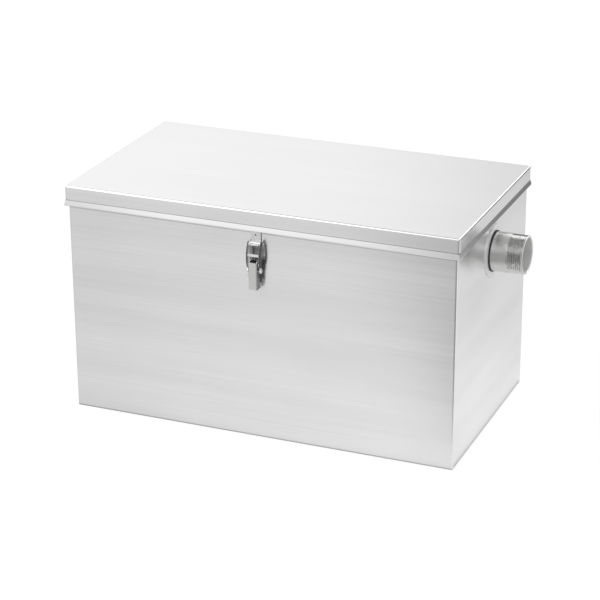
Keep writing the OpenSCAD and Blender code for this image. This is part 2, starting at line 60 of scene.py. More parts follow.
Colour = tuple[float, float, float]
Span = tuple[float, float]
Point = tuple[float, float, float]

# The range of masks and shares.
FULL: Span = (0.0, 1.0)

# The colour sockets of a Mix node share their names with others, so they go by number.
MIX_SHARE = 0
MIX_FIRST = 6
MIX_SECOND = 7
MIX_RESULT = 2


def grey(tone: float) -> Colour:
    """A colour with no hue."""
    return (tone, tone, tone)


WHITE = grey(1.0)


class Side(Enum):
    """The long sides, each with a latch in its middle."""

    FRONT = "front"
    REAR = "rear"


class End(Enum):
    """The ends of the tank with a pipe nipple, and the way each points along X."""

    INLET = 1
    OUTLET = -1

    @property
    def word(self) -> str:
        """The name that the nodes of this end begin with."""
        return self.name.lower()


class Zone(Enum):
    """The parts of a nipple with a finish of their own, numbered as its material slots."""

    THREAD = 0
    COLLAR = 1
    BORE = 2
    RIM = 3


class Graph:
    """A node tree with short calls that add nodes and join them."""

    def __init__(self, tree: bpy.types.NodeTree) -> None:
        """Takes over an existing tree.

        Args:
            tree: The node tree of a material, a world or a group.
        """
        self.tree = tree

    def feed(self, socket: bpy.types.NodeSocket, value: Any) -> None:
        """Joins an output to a socket, or writes a plain value on it.

        Args:
            socket: The input to be fed.
            value: An output socket, a number, a vector or a colour.
        """
        if isinstance(value, bpy.types.NodeSocket):
            self.tree.links.new(value, socket)
        elif hasattr(socket.default_value, "__len__") and len(value) < len(socket.default_value):
            socket.default_value = (*value, 1.0)
        else:
            socket.default_value = value

    def add(self, kind: str, inputs: dict[Any, Any] | None = None, **settings: Any) -> bpy.types.Node:
        """Adds one node.

        Args:
            kind: The node's type name.
            inputs: Values or sockets for its inputs, by name or number.
            **settings: The node's own settings.

        Returns:
            The new node.
        """
        node = self.tree.nodes.new(kind)
        for name, value in settings.items():
            setattr(node, name, value)
        for name, value in (inputs or {}).items():
            self.feed(node.inputs[name], value)
        return node

    def split(self, coordinate: str) -> tuple[bpy.types.NodeSocket, ...]:
        """The X, Y and Z of a texture coordinate."""
        parts = self.add("ShaderNodeSeparateXYZ", {0: self.add("ShaderNodeTexCoord").outputs[coordinate]})
        return tuple(parts.outputs[i] for i in "XYZ")

    def math(self, operation: str, a: Any, b: Any = 0.0) -> bpy.types.NodeSocket:
        """The result of a Math node."""
        return self.add("ShaderNodeMath", {0: a, 1: b}, operation=operation).outputs[0]

    def reach(self, value: Any, start: Any, full: Any) -> bpy.types.NodeSocket:
        """How far a number has come from a start to a full value, from 0 to 1."""
        node = self.add("ShaderNodeMapRange", {"Value": value, "From Min": start, "From Max": full})
        return node.outputs["Result"]

    def spread(self, value: Any, source: Span, target: Span) -> bpy.types.NodeSocket:
        """Maps one range of numbers to another, with a smooth start and end.

        Args:
            value: The socket to be mapped.
            source: The range that it comes in.
            target: The range that it is spread to.

        Returns:
            The mapped number's socket.
        """
        node = self.add(
            "ShaderNodeMapRange",
            {
                "Value": value,
                "From Min": source[0],
                "From Max": source[1],
                "To Min": target[0],
                "To Max": target[1],
            },
            interpolation_type="SMOOTHSTEP",
        )
        return node.outputs["Result"]

    def blend(self, share: Any, a: Any, b: Any) -> bpy.types.NodeSocket:
        """Mixes two colours.

        Args:
            share: 0 for the first colour and 1 for the second.
            a: First colour or socket.
            b: Second colour or socket.

        Returns:
            The mixed colour's socket.
        """
        node = self.add("ShaderNodeMix", {MIX_SHARE: share}, data_type="RGBA")
        self.feed(node.inputs[MIX_FIRST], a)
        self.feed(node.inputs[MIX_SECOND], b)
        return node.outputs[MIX_RESULT]

    def veil(self, tone: Any, mask: Any, share: float, colour: Colour) -> bpy.types.NodeSocket:
        """Lays a share of a colour over a tone where a mask is."""
        return self.blend(self.math("MULTIPLY", mask, share), tone, colour)

    def bump(self, height: Any, distance: float, strength: float) -> bpy.types.NodeSocket:
        """The normal of a surface that a height raises."""
        node = self.add("ShaderNodeBump", {"Height": height, "Distance": distance, "Strength": strength})
        return node.outputs[0]

    def effect(self, group: bpy.types.NodeTree, **values: Any) -> bpy.types.NodeSocket:
        """Places an effect's group with values of its own.

        Args:
            group: The node group.
            **values: Its inputs, with spaces in their names written as underscores.

        Returns:
            The socket of its only output.
        """
        node = self.add("ShaderNodeGroup", node_tree=group)
        for name, value in values.items():
            self.feed(node.inputs[name.replace("_", " ")], value)
        return node.outputs[0]


class Effects:
    """The shader groups that more than one finish uses, each built once."""

    # A face is a wall up to the first upright part of its normal, and level from the second on.
    LEVEL_LIMITS: Span = (0.6, 0.8)
    # Most of the noise lies in this range, which is spread to the full one.
    NOISE_LIMITS: Span = (0.3, 0.7)
    CLOUD_DETAIL = 3.0

    def __init__(self) -> None:
        """Builds all groups."""
        self.brush_lines = self._brush_lines()
        self.tone_clouds = self._tone_clouds()
        self.specks = self._specks()
        self.edge_rub_and_highlight = self._edge_rub_and_highlight()
        self.folds = self._folds()
        self.outer_sides = self._outer_sides()
        self.level_band = self._level_band()
        self.latch_painted_shade = self._latch_painted_shade()

    @staticmethod
    def _open(name: str, inputs: dict[str, float], outputs: Iterable[str]) -> tuple[Graph, Any, Any]:
        """Starts a group with number sockets.

        Args:
            name: The group's name.
            inputs: Its inputs and what they are unless a material says otherwise.
            outputs: Its outputs.

        Returns:
            The group's graph, its input node and its output node.
        """
        tree = bpy.data.node_groups.new(name, "ShaderNodeTree")
        for label, value in inputs.items():
            socket = tree.interface.new_socket(label, in_out="INPUT", socket_type="NodeSocketFloat")
            socket.default_value = value
        for label in outputs:
            tree.interface.new_socket(label, in_out="OUTPUT", socket_type="NodeSocketFloat")
        graph = Graph(tree)
        return graph, graph.add("NodeGroupInput"), graph.add("NodeGroupOutput")

    @staticmethod
    def _steps(graph: Graph, size: Any) -> bpy.types.NodeSocket:
        """The spot on the trap, counted in steps of a size.

        Args:
            graph: The group's graph.
            size: The length of a step.

        Returns:
            The vector's socket.
        """
        place = graph.add("ShaderNodeTexCoord")
        scaled = graph.add("ShaderNodeVectorMath", {0: place.outputs["Object"]}, operation="SCALE")
        graph.feed(scaled.inputs["Scale"], graph.math("DIVIDE", 1.0, size))
        return scaled.outputs[0]

    def _noise(self, graph: Graph, vector: Any, seed: Any, detail: Any) -> bpy.types.NodeSocket:
        """Soft noise from 0 to 1.

        Args:
            graph: The group's graph.
            vector: The spot at which it is read.
            seed: Tells one noise from another.
            detail: How many finer layers it has.

        Returns:
            The noise's socket.
        """
        noise = graph.add(
            "ShaderNodeTexNoise",
            {"Vector": vector, "W": seed, "Scale": 1.0, "Detail": detail},
            noise_dimensions="4D",
        )
        return graph.spread(noise.outputs["Fac"], self.NOISE_LIMITS, FULL)

    def _brush_lines(self) -> bpy.types.NodeTree:
        """Lines that run level round upright walls and along X on level faces.

        Returns:
            The group's tree.
        """
        graph, given, result = self._open(
            "Brush lines", {"Length": 0.3, "Width": 0.01, "Seed": 0.0, "Detail": 2.0}, ["Line"]
        )
        x, y, z = graph.split("Object")
        _, _, upward = graph.split("Normal")
        level = graph.spread(graph.math("ABSOLUTE", upward), self.LEVEL_LIMITS, FULL)
        along, across = given.outputs["Length"], given.outputs["Width"]
        y_wall, y_level = graph.math("DIVIDE", y, along), graph.math("DIVIDE", y, across)
        z_wall, z_level = graph.math("DIVIDE", z, across), graph.math("DIVIDE", z, along)

        def pick(wall: Any, flat: Any) -> bpy.types.NodeSocket:
            """One coordinate: the wall's, or the level face's."""
            change = graph.math("SUBTRACT", flat, wall)
            return graph.math("ADD", wall, graph.math("MULTIPLY", change, level))

        vector = graph.add(
            "ShaderNodeCombineXYZ",
            {"X": graph.math("DIVIDE", x, along), "Y": pick(y_wall, y_level), "Z": pick(z_wall, z_level)},
        )
        line = self._noise(graph, vector.outputs[0], given.outputs["Seed"], given.outputs["Detail"])
        graph.feed(result.inputs["Line"], line)
        return graph.tree

    def _tone_clouds(self) -> bpy.types.NodeTree:
        """Slow drift of tone over a surface, as handling and rolling leave it.

        Returns:
            The group's tree.
        """
        graph, given, result = self._open("Tone clouds", {"Size": 0.1, "Seed": 0.0}, ["Tone"])
        vector = self._steps(graph, given.outputs["Size"])
        tone = self._noise(graph, vector, given.outputs["Seed"], self.CLOUD_DETAIL)
        graph.feed(result.inputs["Tone"], tone)
        return graph.tree

    def _specks(self) -> bpy.types.NodeTree:
        """Few small dots, such as pits and grains of dust.

        Returns:
            The group's tree.
        """
        graph, given, result = self._open(
            "Specks", {"Spacing": 0.03, "Radius": 0.0006, "Share": 0.2}, ["Speck"]
        )
        vector = self._steps(graph, given.outputs["Spacing"])
        cells = graph.add("ShaderNodeTexVoronoi", {"Vector": vector, "Scale": 1.0})
        radius = graph.math("DIVIDE", given.outputs["Radius"], given.outputs["Spacing"])
        near = graph.math("LESS_THAN", cells.outputs["Distance"], radius)
        chance = graph.add("ShaderNodeSeparateColor", {0: cells.outputs["Color"]})
        kept = graph.math("LESS_THAN", chance.outputs[0], given.outputs["Share"])
        graph.feed(result.inputs["Speck"], graph.math("MULTIPLY", near, kept))
        return graph.tree

    def _edge_rub_and_highlight(self) -> bpy.types.NodeTree:
        """Outer edges, where hands and cloths rub the metal smooth; their lighter colour is a painted
        highlight.

        Returns:
            The group's tree.
        """
        graph, given, result = self._open("Edge rub and highlight", {"Start": 0.51, "Full": 0.56}, ["Rub"])
        pointed = graph.add("ShaderNodeNewGeometry").outputs["Pointiness"]
        rub = graph.reach(pointed, given.outputs["Start"], given.outputs["Full"])
        graph.feed(result.inputs["Rub"], rub)
        return graph.tree

    def _folds(self) -> bpy.types.NodeTree:
        """Rounded folds and leaning faces: whatever does not face along one of the axes.

        Returns:
            The group's tree.
        """
        graph, given, result = self._open("Folds", {"Start": 0.99, "Full": 0.965}, ["Fold"])
        x, y, z = (graph.math("ABSOLUTE", part) for part in graph.split("Normal"))
        most = graph.math("MAXIMUM", graph.math("MAXIMUM", x, y), z)
        fold = graph.reach(most, given.outputs["Start"], given.outputs["Full"])
        graph.feed(result.inputs["Fold"], fold)
        return graph.tree

    def _outer_sides(self) -> bpy.types.NodeTree:
        """What lies farther from the middle plane, along X, than a distance, and above a height.

        Returns:
            The group's tree.
        """
        graph, given, result = self._open("Outer sides", {"Start": 0.01, "Above": 0.0}, ["Side"])
        x, _, z = graph.split("Object")
        away = graph.math("GREATER_THAN", graph.math("ABSOLUTE", x), given.outputs["Start"])
        above = graph.math("GREATER_THAN", z, given.outputs["Above"])
        graph.feed(result.inputs["Side"], graph.math("MULTIPLY", away, above))
        return graph.tree

    def _level_band(self) -> bpy.types.NodeTree:
        """A band all round the trap between two heights, where painted shade darkens a line under a hem, in a
        bend and in a hook.

        Returns:
            The group's tree.
        """
        graph, given, result = self._open("Level band", {"Low": 0.0, "High": 0.0}, ["Band"])
        _, _, z = graph.split("Object")
        over = graph.math("GREATER_THAN", z, given.outputs["Low"])
        under = graph.math("LESS_THAN", z, given.outputs["High"])
        graph.feed(result.inputs["Band"], graph.math("MULTIPLY", over, under))
        return graph.tree

    def _latch_painted_shade(self) -> bpy.types.NodeTree:
        """A soft patch of painted shade in the middle of each long wall, behind the latch.

        Returns:
            The group's tree.
        """
        graph, given, result = self._open(
            "Latch painted shade", {"Half width": 0.0078, "Low": 0.213, "High": 0.251, "Fade": 0.0052}, ["Grime"]
        )
        x, _, z = graph.split("Object")
        aside = graph.math("SUBTRACT", graph.math("ABSOLUTE", x), given.outputs["Half width"])
        over = graph.math("SUBTRACT", z, given.outputs["High"])
        under = graph.math("SUBTRACT", given.outputs["Low"], z)
        beyond = graph.math("MAXIMUM", aside, graph.math("MAXIMUM", over, under))
        fade = graph.add(
            "ShaderNodeMapRange",
            {"Value": beyond, "From Max": given.outputs["Fade"], "To Min": 1.0, "To Max": 0.0},
            interpolation_type="SMOOTHSTEP",
        )
        graph.feed(result.inputs["Grime"], fade.outputs["Result"])
        return graph.tree


def blank(name: str) -> tuple[bpy.types.Material, Graph, bpy.types.Node]:
    """Starts a material that has only its Principled shader.

    Args:
        name: The material's name.

    Returns:
        The material, its graph and its shader node.
    """
    material = bpy.data.materials.new(name)
    material.use_nodes = True
    graph = Graph(material.node_tree)
    shader = next(n for n in material.node_tree.nodes if n.type == "BSDF_PRINCIPLED")
    return material, graph, shader


@dataclass(frozen=True)
class BrushedSheet:
    """Stainless sheet brushed level, with long soft streaks and fine lines.

    The streak and the line give a length and a width. The painted shade band gives its lowest and its highest
    point.
    """

    name: str
    painted_shade_band: Span
    painted_shade_band_share: float
    painted_shade_band_colour: Colour = grey(0.1)
    shade: Colour = (0.83, 0.83, 0.834)
    bright: Colour = (0.99, 0.99, 0.992)
    middle: float = 0.5
    roughness: Span = (0.24, 0.27)
    fold_polish: float = 0.13
    anisotropy: float = 0.88
    quarter_turn: float = 0.25
    streak: Span = (0.5, 0.035)
    streak_share: float = 0.34
    cloud_size: float = 0.22
    cloud_seed: float = 2.0
    cloud_share: float = 0.3
    line: Span = (0.3, 0.0022)
    line_seed: float = 4.0
    line_detail: float = 3.0
    line_share: float = 0.2
    line_height: float = 0.0000003
    line_strength: float = 0.6
    grain_size: float = 0.0011
    grain_seed: float = 7.0
    grain_share: float = 0.16
    speck_spacing: float = 0.05
    speck_radius: float = 0.0007
    speck_chance: float = 0.25
    speck_share: float = 0.4
    speck_shade: Colour = grey(0.25)
    level_limit: float = 0.7
    level_calm: float = 0.7
    level_painted_light: float = 0.0
    latch_shade_share: float = 0.0
    latch_shade_colour: Colour = grey(0.05)

    def make(self, effects: Effects) -> bpy.types.Material:
        """Builds the material.

        Args:
            effects: The shared groups.

        Returns:
            The finished material.
        """
        material, graph, shader = blank(self.name)
        line = graph.effect(
            effects.brush_lines,
            Length=self.line[0],
            Width=self.line[1],
            Seed=self.line_seed,
            Detail=self.line_detail,
        )
        normal = graph.add("ShaderNodeNewGeometry").outputs["Normal"]
        upward = graph.add("ShaderNodeSeparateXYZ", {0: normal}).outputs["Z"]
        level = graph.math("GREATER_THAN", graph.math("ABSOLUTE", upward), self.level_limit)
        graph.feed(shader.inputs["Base Color"], self._tone(graph, effects, line, level))
        polish = graph.math("MULTIPLY", graph.effect(effects.folds), self.fold_polish)
        rough = graph.math("SUBTRACT", graph.spread(line, FULL, self.roughness), polish)
        graph.feed(shader.inputs["Roughness"], rough)
        shader.inputs["Metallic"].default_value = 1.0
        shader.inputs["Anisotropic"].default_value = self.anisotropy
        shader.inputs["Anisotropic Rotation"].default_value = self.quarter_turn
        graph.feed(shader.inputs["Tangent"], self._along(graph, normal, level))
        graph.feed(shader.inputs["Normal"], graph.bump(line, self.line_height, self.line_strength))
        return material

    def _tone(self, graph: Graph, effects: Effects, line: Any, level: Any) -> bpy.types.NodeSocket:
        """The metal's tone, with its streaks, grime and specks.

        Args:
            graph: The material's graph.
            effects: The shared groups.
            line: The fine brush lines.
            level: 1 on level faces, 0 on walls.

        Returns:
            The colour's socket.
        """
        streak = graph.effect(effects.brush_lines, Length=self.streak[0], Width=self.streak[1])
        cloud = graph.effect(effects.tone_clouds, Size=self.cloud_size, Seed=self.cloud_seed)
        grain = graph.effect(effects.tone_clouds, Size=self.grain_size, Seed=self.grain_seed)
        mask: Any = 0.0
        for part, share in (
            (streak, self.streak_share),
            (cloud, self.cloud_share),
            (line, self.line_share),
            (grain, self.grain_share),
        ):
            mask = graph.math("ADD", mask, graph.math("MULTIPLY", part, share))
        calm = graph.math("SUBTRACT", 1.0, graph.math("MULTIPLY", level, self.level_calm))
        swing = graph.math("MULTIPLY", graph.math("SUBTRACT", mask, self.middle), calm)
        mask = graph.math("ADD", self.middle, swing)
        # Painted light: level faces, such as the lid's top, are made lighter than the walls.
        mask = graph.math("ADD", mask, graph.math("MULTIPLY", level, self.level_painted_light))
        tone = graph.blend(mask, self.shade, self.bright)
        # Painted shade: the wall is darkened round each latch.
        tone = graph.veil(tone, graph.effect(effects.latch_painted_shade), self.latch_shade_share, self.latch_shade_colour)
        # Painted shade: a dark line under the lid's hem, and in the bend above the lid's bead.
        band = graph.effect(effects.level_band, Low=self.painted_shade_band[0], High=self.painted_shade_band[1])
        tone = graph.veil(tone, band, self.painted_shade_band_share, self.painted_shade_band_colour)
        speck = graph.effect(
            effects.specks, Spacing=self.speck_spacing, Radius=self.speck_radius, Share=self.speck_chance
        )
        return graph.veil(tone, speck, self.speck_share, self.speck_shade)

    @staticmethod
    def _along(graph: Graph, normal: Any, level: Any) -> bpy.types.NodeSocket:
        """The direction of the brush: level round the walls, and along X on level faces.

        Args:
            graph: The material's graph.
            normal: The surface's normal.
            level: 1 on level faces, 0 on walls.

        Returns:
            The direction's socket.
        """
        axis = graph.add("ShaderNodeCombineXYZ", {"Y": level, "Z": graph.math("SUBTRACT", 1.0, level)})
        cross = graph.add("ShaderNodeVectorMath", {0: axis.outputs[0], 1: normal}, operation="CROSS_PRODUCT")
        return graph.add("ShaderNodeVectorMath", {0: cross.outputs[0]}, operation="NORMALIZE").outputs[0]


@dataclass(frozen=True)
class PlainSteel:
    """Steel with no brushed direction: pipe, inner plates or the latch's pressed parts.

    It can get painted shade beyond a distance from the middle plane and above a height, and within a band of
    heights.
    """

    name: str
    shade: Colour
    bright: Colour
    roughness: Span
    cloud_size: float = 0.02
    cloud_share: float = 0.75
    grain_ratio: float = 30.0
    grain_seed: float = 5.0
    grain_share: float = 0.25
    grain_height: float = 0.00001
    grain_strength: float = 0.5
    rub: Span = (0.52, 0.6)
    rub_highlight_colour: Colour = grey(0.93)
    rub_polish: float = 0.08
    metallic: float = 1.0
    painted_shade_sides: Span = (1.0, 1.0)
    painted_shade_sides_share: float = 0.0
    painted_shade_sides_colour: Colour = grey(0.04)
    painted_shade_heights: Span = (0.0, 0.0)
    painted_shade_heights_share: float = 0.0
    painted_shade_heights_colour: Colour = grey(0.03)

    def make(self, effects: Effects) -> bpy.types.Material:
        """Builds the material.

        Args:
            effects: The shared groups.

        Returns:
            The finished material.
        """
        material, graph, shader = blank(self.name)
        cloud = graph.effect(effects.tone_clouds, Size=self.cloud_size)
        grain_size = self.cloud_size / self.grain_ratio
        grain = graph.effect(effects.tone_clouds, Size=grain_size, Seed=self.grain_seed)
        cloud_part = graph.math("MULTIPLY", cloud, self.cloud_share)
        mask = graph.math("ADD", cloud_part, graph.math("MULTIPLY", grain, self.grain_share))
        tone = graph.blend(mask, self.shade, self.bright)
        # Painted shade on the outer sides, and below it within a band of heights.
        side = graph.effect(effects.outer_sides, Start=self.painted_shade_sides[0], Above=self.painted_shade_sides[1])
        tone = graph.veil(tone, side, self.painted_shade_sides_share, self.painted_shade_sides_colour)
        band = graph.effect(effects.level_band, Low=self.painted_shade_heights[0], High=self.painted_shade_heights[1])
        tone = graph.veil(tone, band, self.painted_shade_heights_share, self.painted_shade_heights_colour)
        rub = graph.effect(effects.edge_rub_and_highlight, Start=self.rub[0], Full=self.rub[1])
        # Painted highlight: pointed edges are lightened in colour; below, they are also rubbed smoother.
        graph.feed(shader.inputs["Base Color"], graph.blend(rub, tone, self.rub_highlight_colour))
        rough = graph.spread(mask, FULL, self.roughness)
        rough = graph.math("SUBTRACT", rough, graph.math("MULTIPLY", rub, self.rub_polish))
        graph.feed(shader.inputs["Roughness"], rough)
        shader.inputs["Metallic"].default_value = self.metallic
        graph.feed(shader.inputs["Normal"], graph.bump(grain, self.grain_height, self.grain_strength))
        return material


@dataclass(frozen=True)
class Rubber:
    """Matt black rubber with a faint bloom."""

    name: str = "black_rubber"
    dark: Colour = (0.012, 0.012, 0.013)
    bloom: Colour = (0.04, 0.04, 0.042)
    roughness: Span = (0.55, 0.75)
    cloud_size: float = 0.015
    grain_size: float = 0.0006
    grain_seed: float = 3.0
    grain_height: float = 0.00005
    grain_strength: float = 0.4

    def make(self, effects: Effects) -> bpy.types.Material:
        """Builds the material.

        Args:
            effects: The shared groups.

        Returns:
            The finished material.
        """
        material, graph, shader = blank(self.name)
        cloud = graph.effect(effects.tone_clouds, Size=self.cloud_size)
        grain = graph.effect(effects.tone_clouds, Size=self.grain_size, Seed=self.grain_seed)
        graph.feed(shader.inputs["Base Color"], graph.blend(cloud, self.dark, self.bloom))
        graph.feed(shader.inputs["Roughness"], graph.spread(cloud, FULL, self.roughness))
        graph.feed(shader.inputs["Normal"], graph.bump(grain, self.grain_height, self.grain_strength))
        return material


# Painted shade darkens the body's wall round each latch and in a line under the lid's hem.
BODY = BrushedSheet("brushed_body_steel", painted_shade_band=(0.2665, 0.27), painted_shade_band_share=0.27, latch_shade_share=0.72)
# Painted shade darkens the bend above the lid's bead; painted light lifts the lid's level top.
COVER = BrushedSheet("brushed_lid_steel", painted_shade_band=(0.2761, 0.2771), painted_shade_band_share=0.5, level_painted_light=0.32)
THREAD = PlainSteel(
    "pipe_thread_steel",
    shade=(0.34, 0.34, 0.335),
    bright=(0.86, 0.86, 0.85),
    roughness=(0.14, 0.22),
    cloud_size=0.0014,
    grain_height=0.00003,
)
COLLAR = PlainSteel(
    "pipe_turned_steel", shade=(0.72, 0.72, 0.71), bright=(0.82, 0.82, 0.81), roughness=(0.32, 0.42)
)
RIM = PlainSteel(
    "pipe_rim_steel", shade=grey(0.94), bright=grey(0.97), roughness=(0.3, 0.4), metallic=0.4
)
BORE = PlainSteel(
    "pipe_bore_steel", shade=(0.8, 0.8, 0.79), bright=(0.88, 0.88, 0.87), roughness=(0.5, 0.6), metallic=0.3
)
INNER = PlainSteel(
    "inner_plate_steel",
    shade=(0.62, 0.62, 0.63),
    bright=(0.76, 0.76, 0.77),
    roughness=(0.3, 0.42),
    cloud_size=0.06,
)
# With these limits only the most pointed edges are rubbed and get the painted edge highlight.
ONLY_SHARPEST_EDGES: Span = (0.9, 1.0)
WASHER = PlainSteel(
    "pipe_washer_steel",
    shade=grey(0.92),
    bright=grey(0.98),
    roughness=(0.26, 0.34),
    rub=ONLY_SHARPEST_EDGES,
    metallic=0.3,
)
LEVER = PlainSteel(
    "latch_lever_steel",
    shade=(0.68, 0.68, 0.67),
    bright=(0.76, 0.76, 0.75),
    roughness=(0.24, 0.32),
    cloud_size=0.01,
    rub=ONLY_SHARPEST_EDGES,
    # Painted shade: the lever's side faces are darkened.
    painted_shade_sides=(0.00535, 0.0),
    painted_shade_sides_share=0.42,
)
# Painted shade: the latch's base plate is made dark, as the shade round the lever's foot.
BASE = PlainSteel(
    "latch_base_steel",
    shade=grey(0.32),
    bright=grey(0.48),
    roughness=(0.14, 0.2),
    cloud_size=0.01,
    rub=ONLY_SHARPEST_EDGES,
)
CATCH = PlainSteel(
    "latch_catch_steel",
    shade=grey(0.7),
    bright=grey(0.84),
    roughness=(0.12, 0.18),
    cloud_size=0.01,
    rub=ONLY_SHARPEST_EDGES,
    # Painted shade: a dark band in the hook, under the bail's bar.
    painted_shade_heights=(0.243, 0.2475),
    painted_shade_heights_share=0.85,
)
BAIL = PlainSteel(
    "latch_bail_steel",
    shade=grey(0.8),
    bright=grey(0.92),
    roughness=(0.1, 0.16),
    cloud_size=0.01,
    rub=ONLY_SHARPEST_EDGES,
    metallic=0.6,
    # Painted shade: the bail's legs above this height are made nearly black, like dark reflections.
    painted_shade_sides=(0.0074, 0.2265),
    painted_shade_sides_share=0.93,
)
PIN = PlainSteel(
    "latch_pin_steel",
    shade=grey(0.88),
    bright=grey(0.96),
    roughness=(0.3, 0.36),
    cloud_size=0.002,
    rub=ONLY_SHARPEST_EDGES,
)
RUBBER = Rubber()


@dataclass
class Paintshop:
    """Makes each finish once, and puts it on the pieces that have it."""

    effects: Effects
    made: dict[str, bpy.types.Material] = field(default_factory=dict)

    def material(self, finish: Any) -> bpy.types.Material:
        """The material of a finish, built when it is first asked for.

        Args:
            finish: One of the finishes above.

        Returns:
            Its material.
        """
        if finish.name not in self.made:
            self.made[finish.name] = finish.make(self.effects)
        return self.made[finish.name]

    def dress(self, finish: Any, *pieces: bpy.types.Object) -> None:
        """Puts a finish on every material slot of some pieces.

        Args:
            finish: One of the finishes above.
            *pieces: The pieces that get it.
        """
        material = self.material(finish)
        for piece in pieces:
            if not piece.material_slots:
                piece.data.materials.append(material)
            for slot in piece.material_slots:
                slot.material = material
            LOG.info("%s gets %s", piece.name, finish.name)


@dataclass
class Tank:
    """The folded tank, its lid and the gasket between them."""

    nodes: dict[str, bpy.types.Object]

    def dress(self, shop: Paintshop) -> None:
        """Gives the sheet its brushed finish and the gasket its rubber.

        Args:
            shop: Makes the finishes.
        """
        shop.dress(BODY, self.nodes["tank"])
        shop.dress(COVER, self.nodes["lid"])
        shop.dress(RUBBER, self.nodes["lid_gasket"])


@dataclass
class Interior:
    """Baffles, their guides, the sieve basket and the dip tee."""

    nodes: dict[str, bpy.types.Object]
    names: tuple[str, ...] = (
        "outlet_dip_tee",
        "inlet_baffle",
        "inlet_baffle_guides",
        "outlet_baffle",
        "outlet_baffle_guides",
        "sieve_basket",
        "basket_handle",
        "basket_rails",
    )

    def dress(self, shop: Paintshop) -> None:
        """Gives every inner plate its plain steel."""
        shop.dress(INNER, *(self.nodes[name] for name in self.names))


@dataclass
class Latch:
    """One over-centre latch, whose solids are shown as they are."""

    nodes: dict[str, bpy.types.Object]
    side: Side

    def dress(self, shop: Paintshop) -> None:
        """Gives each kind of part its own steel: satin lever, bright catch and pins. Painted shade darkens
        base, bail legs, lever sides and hook.

        Args:
            shop: Makes the finishes.
        """
        kinds = {
            LEVER: ("lever",),
            BASE: ("latch_base",),
            CATCH: ("catch",),
            BAIL: ("bail",),
            PIN: ("lever_pin", "bail_pin", "rivets"),
        }
        for finish, parts in kinds.items():
            shop.dress(finish, *(self.nodes[f"{self.side.value}_{part}"] for part in parts))


